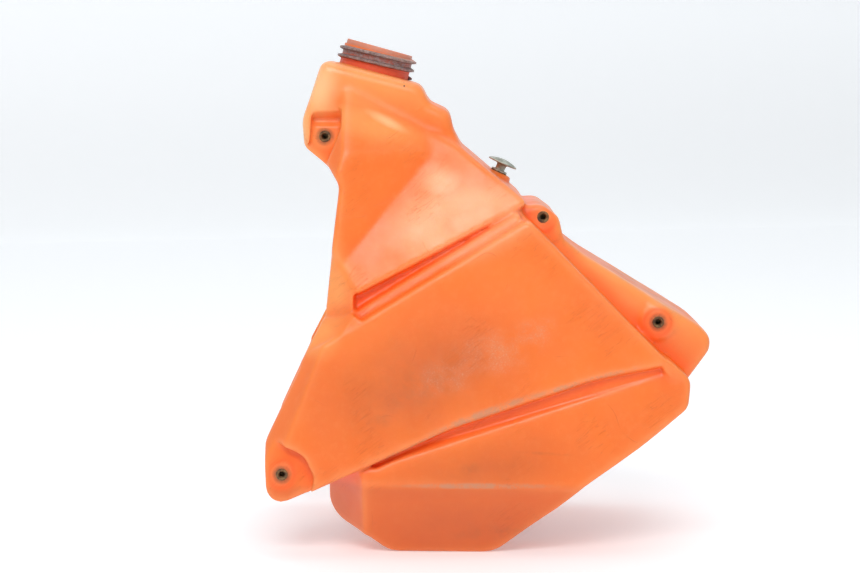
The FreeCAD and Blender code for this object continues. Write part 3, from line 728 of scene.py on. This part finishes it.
def shell_plastic():
    """Paler with painted light, glow and sheen, darker with dirt and painted shade in patches, redder with painted
    shade in deep corners and on the belly, with painted highlights on edges, then rubbed, dirty and scratched.
    """
    n = Nodes("tank_plastic_worn_and_painted_light")
    colour, _, fine = plastic_ground(n)
    ridge, hollow = n.attribute("ridge"), n.attribute("hollow")
    wide_hollow, wide_ridge = n.attribute("wide_hollow"), n.attribute("wide_ridge")
    cloudy = n.noise(0.05, 5, 0.6)
    # painted light: paler where the plastic is lit, broken up by a cloudy noise
    thin = n.math("MULTIPLY", n.patches(PAINTED_LIGHT), n.fade(cloudy, 0.25, 0.6, 0.75, 1.0))
    colour = n.mix(n.math("MULTIPLY", thin, 0.62), colour, srgb(255, 172, 96))
    # painted glow: pale patches on the head's front, as if the plastic were lit from within
    glow = n.patches(PAINTED_GLOW)
    colour = n.mix(n.math("MULTIPLY", glow, 0.85), colour, srgb(255, 204, 150))
    # painted sheen on the upper panel, broken up by a cloudy noise
    painted_sheen = n.math("MULTIPLY", n.patches(PAINTED_SHEEN), n.fade(cloudy, 0.25, 0.6, 0.5, 1.0))
    colour = n.mix(n.math("MULTIPLY", painted_sheen, 0.6), colour, srgb(255, 184, 134))
    # dirt and painted shade: darker patches on the main face, the lower lobe and the belly
    dirt_and_shade = n.math("MULTIPLY", n.patches(DIRT_AND_PAINTED_SHADE), n.fade(n.noise(0.04, 5, 0.65), 0.3, 0.65, 0.7, 1.0))
    colour = n.mix(n.math("MULTIPLY", dirt_and_shade, 0.46), colour, srgb(176, 88, 52))
    # painted shade: the belly below the crease, which faces down, made darker and redder
    split = n.new("ShaderNodeSeparateXYZ")
    n.put(split.inputs[0], n.where)
    belly_shade = n.math("MULTIPLY", n.fade(split.outputs["Z"], 62 * MM, 54 * MM), 0.5)
    colour = n.mix(belly_shade, colour, srgb(204, 92, 46))
    # painted shade: deep saturated orange in broad hollows and grooves, weaker in the head's pocket
    pocket = n.patch(mm3(-136, -50, 350), mm3(24, 40, 34), 0, 0.5)
    colour = n.mix(n.math("MULTIPLY", wide_hollow, n.math("SUBTRACT", 0.9, n.math("MULTIPLY", pocket, 0.6))), colour,
                   srgb(255, 84, 2))
    # painted highlights: paler along convex edges, broad and narrow
    colour = n.mix(n.math("MULTIPLY", wide_ridge, 0.4), colour, srgb(255, 154, 84))
    colour = n.mix(n.math("MULTIPLY", ridge, 0.4), colour, srgb(255, 170, 108))
    grit = n.fade(n.noise(0.0016, 5, 0.75), 0.48, 0.68)
    rubbed = n.math("MULTIPLY", n.patches(RUBBED), n.fade(n.noise(0.03, 6, 0.72), 0.36, 0.7))
    colour = n.mix(n.math("MULTIPLY", rubbed, 0.34), colour, srgb(206, 146, 112))
    colour = n.mix(n.math("MULTIPLY", n.math("MULTIPLY", rubbed, grit), 0.5), colour, srgb(222, 180, 148))
    worn = n.math("MULTIPLY", n.patches(WORN_EDGE), n.fade(n.noise(0.01, 6, 0.78), 0.34, 0.6))
    colour = n.mix(n.math("MULTIPLY", worn, 0.7), colour, srgb(194, 144, 112))
    smudge = n.math("MULTIPLY", n.patches(SMUDGES), n.fade(n.noise(0.012, 6, 0.7), 0.3, 0.7))
    colour = n.mix(n.math("MULTIPLY", smudge, 0.22), colour, srgb(120, 78, 58))
    seat_rub = n.math("MULTIPLY", n.patches(SEAT_RUB), n.fade(n.noise(0.02, 7, 0.75), 0.36, 0.68))
    colour = n.mix(n.math("MULTIPLY", seat_rub, 0.42), colour, srgb(126, 100, 86))
    dirt = n.math("MULTIPLY", hollow, n.fade(n.noise(0.018, 4, 0.6), 0.42, 0.66))
    colour = n.mix(n.math("MULTIPLY", dirt, 0.35), colour, srgb(150, 80, 48))
    grime = insert_grime(n)
    colour = n.mix(n.math("MULTIPLY", grime, 0.7), colour, srgb(118, 66, 44))
    colour = n.mix(n.patches(SPECKS), colour, srgb(70, 34, 20))
    hair = n.math("MULTIPLY", n.hairlines(0.11, 0.0012, 0.2), n.fade(n.noise(0.03, 3), 0.52, 0.66))
    long_marks = scratches(n, (0, math.radians(38), 0), 0.03, 0.006)
    long_marks = n.math("MULTIPLY", long_marks, n.fade(n.noise(0.04, 2), 0.5, 0.66))
    marks = n.math("MAXIMUM", hair, long_marks)
    colour = n.mix(n.math("MULTIPLY", marks, 0.3), colour, srgb(196, 100, 58))
    rough = n.math("ADD", n.fade(n.noise(0.03, 4, 0.6), 0.3, 0.7, 0.32, 0.44), n.math("MULTIPLY", rubbed, 0.18))
    rough = n.math("ADD", rough, n.math("MULTIPLY", grime, 0.25), clamp=True)
    height = n.math("MULTIPLY", fine, 0.25)
    height = n.math("ADD", height, n.math("MULTIPLY", n.noise(0.0012, 2), 0.1))
    height = n.math("SUBTRACT", height, n.math("MULTIPLY", marks, 0.5))
    height = n.math("ADD", height, n.math("MULTIPLY", n.math("MULTIPLY", rubbed, grit), 0.3))
    height = n.math("ADD", height, n.math("MULTIPLY", seam(n), 1.2))
    return n.set(Base_Color=colour, Roughness=rough, Normal=n.bump(height, 0.0003), Subsurface_Weight=0.25,
                 Subsurface_Radius=PLASTIC_SCATTER, Subsurface_Scale=0.005, Specular_IOR_Level=0.45)


def seam(n):
    """The flash line that the two halves of the mould leave on the centre plane."""
    split = n.new("ShaderNodeSeparateXYZ")
    n.put(split.inputs[0], n.where)
    return n.fade(n.math("ABSOLUTE", split.outputs["Y"]), 0.9 * MM, 0.3 * MM)


def neck_plastic():
    """The same plastic, darker and redder low on the neck, with grey dirt and painted shade on the thread and a paler
    rim.
    """
    n = Nodes("neck_plastic_dirt_and_shade")
    colour, _, fine = plastic_ground(n)
    far = far_from(n, NECK_BASE, NECK_AXIS)
    high = height_over(n, NECK_BASE, NECK_AXIS)
    patchy = n.noise(0.006, 5, 0.65)
    streaky = n.noise(0.003, 6, 0.75)
    colour = n.mix(n.fade(high, 14.5 * MM, 12.5 * MM), colour, srgb(226, 92, 54))
    # grey dirt and painted shade on the thread's crests and flanks, and painted shade in the gap between the ridges
    thread_dirt_and_shade = n.math("MULTIPLY", n.fade(far, 29.65 * MM, 30.1 * MM), n.fade(patchy, 0.25, 0.45, 0.75, 1.0))
    between = n.math("MULTIPLY", n.fade(high, 6.5 * MM, 8.5 * MM), n.fade(high, 15 * MM, 13 * MM))
    thread_dirt_and_shade = n.math("MAXIMUM", thread_dirt_and_shade, n.math("MULTIPLY", between, n.fade(patchy, 0.3, 0.6, 0.45, 0.9)))
    grey = n.mix(n.fade(streaky, 0.32, 0.68), srgb(82, 74, 72), srgb(160, 150, 148))
    colour = n.mix(n.math("MULTIPLY", thread_dirt_and_shade, 0.94), colour, grey)
    rim = n.math("MULTIPLY", n.fade(high, 14.8 * MM, 16.6 * MM), n.fade(patchy, 0.25, 0.6, 0.7, 1.0))
    colour = n.mix(n.math("MULTIPLY", rim, 0.78), colour, srgb(196, 142, 124))
    rough = n.fade(patchy, 0.3, 0.7, 0.42, 0.62)
    height = n.math("ADD", n.math("MULTIPLY", fine, 0.4), n.math("MULTIPLY", patchy, 0.5))
    height = n.math("ADD", height, n.math("MULTIPLY", n.math("MULTIPLY", streaky, thread_dirt_and_shade), 0.8))
    return n.set(Base_Color=colour, Roughness=rough, Normal=n.bump(height, 0.0005), Subsurface_Weight=0.2,
                 Subsurface_Radius=PLASTIC_SCATTER, Subsurface_Scale=0.004)


def inside_plastic():
    n = Nodes("tank_plastic_inside")
    colour, broad, fine = plastic_ground(n)
    colour = n.mix(n.fade(broad, 0.35, 0.65), colour, srgb(214, 88, 34))
    return n.set(Base_Color=colour, Roughness=n.fade(fine, 0.3, 0.7, 0.35, 0.5), Normal=n.bump(fine, 0.0003),
                 Subsurface_Weight=0.2, Subsurface_Radius=(1.0, 0.35, 0.12), Subsurface_Scale=0.004)


def metal(name, light, dark, dirt, metallic, rough, grain=0.0015, dirt_share=0.5):
    n = Nodes(name)
    base = n.mix(n.fade(n.noise(grain * 3, 5, 0.6), 0.35, 0.65), light, dark)
    grimy = n.math("MULTIPLY", n.fade(n.noise(0.004, 5, 0.7), 0.45, 0.62), dirt_share)
    base = n.mix(grimy, base, dirt)
    fine = n.noise(grain * 0.5, 3, 0.6)
    roughness = n.math("ADD", n.fade(fine, 0.3, 0.7, rough - 0.08, rough + 0.1), n.math("MULTIPLY", grimy, 0.3))
    shine = n.math("SUBTRACT", metallic, n.math("MULTIPLY", grimy, metallic))
    return n.set(Base_Color=base, Roughness=roughness, Metallic=shine, Normal=n.bump(fine, 0.00012))


def soft_black(name, light, dark, rough, grain):
    n = Nodes(name)
    dust = n.fade(n.noise(0.012, 5, 0.65), 0.5, 0.72)
    base = n.mix(n.fade(n.noise(grain, 4), 0.35, 0.65), dark, light)
    base = n.mix(n.math("MULTIPLY", dust, 0.35), base, srgb(140, 122, 104))
    fine = n.noise(grain * 0.4, 3)
    return n.set(Base_Color=base, Roughness=n.fade(fine, 0.3, 0.7, rough - 0.08, rough + 0.08),
                 Normal=n.bump(fine, 0.0002))


def gauze():
    n = Nodes("filter_gauze")
    local = n.mapped(scale=(1400, 1400, 1400))
    split = n.new("ShaderNodeSeparateXYZ")
    n.put(split.inputs[0], local)
    weave = n.math("MULTIPLY", n.math("SINE", split.outputs["X"]), n.math("SINE", split.outputs["Z"]))
    base = n.mix(n.fade(weave, -0.2, 0.5), srgb(120, 112, 96), srgb(226, 220, 200))
    return n.set(Base_Color=base, Roughness=n.fade(weave, -1, 1, 0.5, 0.7), Normal=n.bump(weave, 0.0002))


# ------------------------------------------------------------------ pieces

def tank():
    """The three pieces that stand in for the CAD's shell."""
    body, neck, inside = moulding()
    body.materials.clear()
    body.materials.append(shell_plastic())
    neck.materials.append(neck_plastic())
    inside.materials.append(inside_plastic())
    add_object("tank_shell_moulding", body, replaces=["tank_shell"])
    add_object("filler_neck", neck, replaces=["tank_shell"])
    add_object("tank_shell_inside", inside, replaces=["tank_shell"])


def brass_insert(name, mouth, axis, r_bore, r_collar, depth, bore_depth, material, node):
    """A turned brass insert: knurled body, thin collar with a broken edge, and a threaded blind hole."""
    pitch = 1.0 if r_bore < 3 else 1.25
    steps = [-bore_depth + 0.25 * i for i in range(int((bore_depth + 0.1) / 0.25) + 1)]
    profile = [(0, -bore_depth - 0.6), (r_bore * 0.8, -bore_depth - 0.1)]
    profile += [(r_bore, z) for z in steps]
    profile += [(r_bore + 0.45, 0.5), (r_bore + 0.6, 0.58), (r_collar - 0.3, 0.58), (r_collar, 0.3), (r_collar, 0.0)]
    body_r = r_collar - 0.5
    profile += [(body_r, -0.02), (body_r, -depth * 0.45), (body_r - 0.5, -depth * 0.48),
                (body_r - 0.5, -depth * 0.56), (body_r, -depth * 0.59),
                (body_r, -depth + 0.4), (body_r - 0.4, -depth), (0, -depth)]
    bm = revolved(profile)
    threaded(bm, r_bore, -bore_depth, 0.1, pitch, -0.32)
    for v in bm.verts:
        if abs(math.hypot(v.co.x, v.co.y) / MM - body_r) < 0.02 and v.co.z < -0.1 * MM:
            push = 1 - 0.015 * (round(math.atan2(v.co.y, v.co.x) / (2 * math.pi) * TURNED_SIDES) % 2)
            v.co.x *= push
            v.co.y *= push
    mesh = mesh_from(bm, name)
    mesh.transform(place_matrix(mouth, axis))
    mesh.materials.append(material)
    smooth_shaded(mesh, 35)
    add_object(name, mesh, replaces=[node])


def inserts(material):
    for name in SITES:
        mouth, axis = site(name)
        brass_insert(f"threaded_insert_{name}", mouth, axis, 2.5, 4.8, 12, 10, material, f"insert_{name}")
    brass_insert("frame_bolt_threaded_insert", FRAME_BOLT, ROOF_DOWN, 4.0, 7.0, 18, 16, material, "frame_bolt_insert")


def stud(material):
    """The mushroom stud: shank, stem with a foot ring, and a domed head with a rolled rim."""
    profile = [(0, -14), (3.2, -14), (3.9, -13.3), (3.9, 0.65),
               (6.6, 0.65), (6.9, 0.9), (6.9, 1.7), (6.6, 2.0), (4.6, 2.1), (4.15, 2.5), (4.1, 3.0), (4.1, 5.6),
               (4.3, 6.6), (5.0, 7.15), (6.4, 7.3), (9.7, 7.45), (11.9, 7.6), (12.6, 7.9), (12.78, 8.35),
               (12.6, 8.8), (11.8, 9.25), (9.8, 10.05), (7.2, 10.85), (4.6, 11.4), (2.2, 11.68), (0, 11.75)]
    mesh = mesh_from(revolved(profile), "seat_stud_turned")
    mesh.transform(place_matrix(STUD_FOOT, STUD_AXIS))
    mesh.materials.append(material)
    smooth_shaded(mesh, 40)
    add_object("seat_stud_turned", mesh, replaces=["seat_stud"])


def dress(name, material, bevel=0.0):
    """Gives a CAD node its material and, if asked, softened edges."""
    node = frame["nodes"][name]
    node.data.materials.clear()
    node.data.materials.append(material)
    if bevel:
        modifier = node.modifiers.new("edges", "BEVEL")
        modifier.width = bevel * MM
        modifier.segments = 2
        modifier.limit_method = "ANGLE"
        modifier.angle_limit = math.radians(35)
        modifier.harden_normals = False


def fittings():
    brass = metal("brass_dirty", srgb(150, 122, 84), srgb(112, 84, 56), srgb(56, 38, 30), 0.75, 0.5, 0.0015, 0.8)
    zinc = metal("zinc_oxidised", srgb(196, 200, 188), srgb(150, 158, 146), srgb(116, 104, 88), 0.75, 0.42, 0.002)
    screw = metal("zinc_screws", srgb(206, 206, 200), srgb(168, 168, 160), srgb(96, 82, 66), 0.9, 0.35)
    alloy = metal("cast_alloy", srgb(178, 178, 176), srgb(140, 140, 138), srgb(84, 74, 62), 0.85, 0.5, 0.0008)
    rubber = soft_black("pad_rubber", srgb(44, 43, 42), srgb(24, 24, 24), 0.7, 0.003)
    lever = soft_black("lever_plastic_black", srgb(36, 36, 37), srgb(20, 20, 21), 0.45, 0.002)
    inserts(brass)
    stud(zinc)
    for name in ("seat_stud_insert", "tap_mount_inserts", "tap_main_standpipe"):
        dress(name, brass)
    for name in ("tap_plate_screws", "tap_flange_screws", "tap_flange_washers", "tap_retaining_plate",
                 "tap_spring_washer"):
        dress(name, screw, 0.15)
    dress("tap_body", alloy, 0.5)
    dress("tap_lever", lever, 0.4)
    for name in ("tap_flange_seal", "tap_lever_seal", "tunnel_pad_front", "tunnel_pad_rear"):
        dress(name, rubber)
    dress("tap_strainer", gauze())


world()
backdrop()
camera()
SCENE.view_settings.view_transform = "Standard"
area_light("key", (-0.3, -2.3, 2.1), (0, 0, 0.25), (1.8, 1.0), 46)
area_light("top", (0.5, 0.3, 3.0), (0, 0, 0.2), (2.4, 2.0), 24)
tank()
fittings()
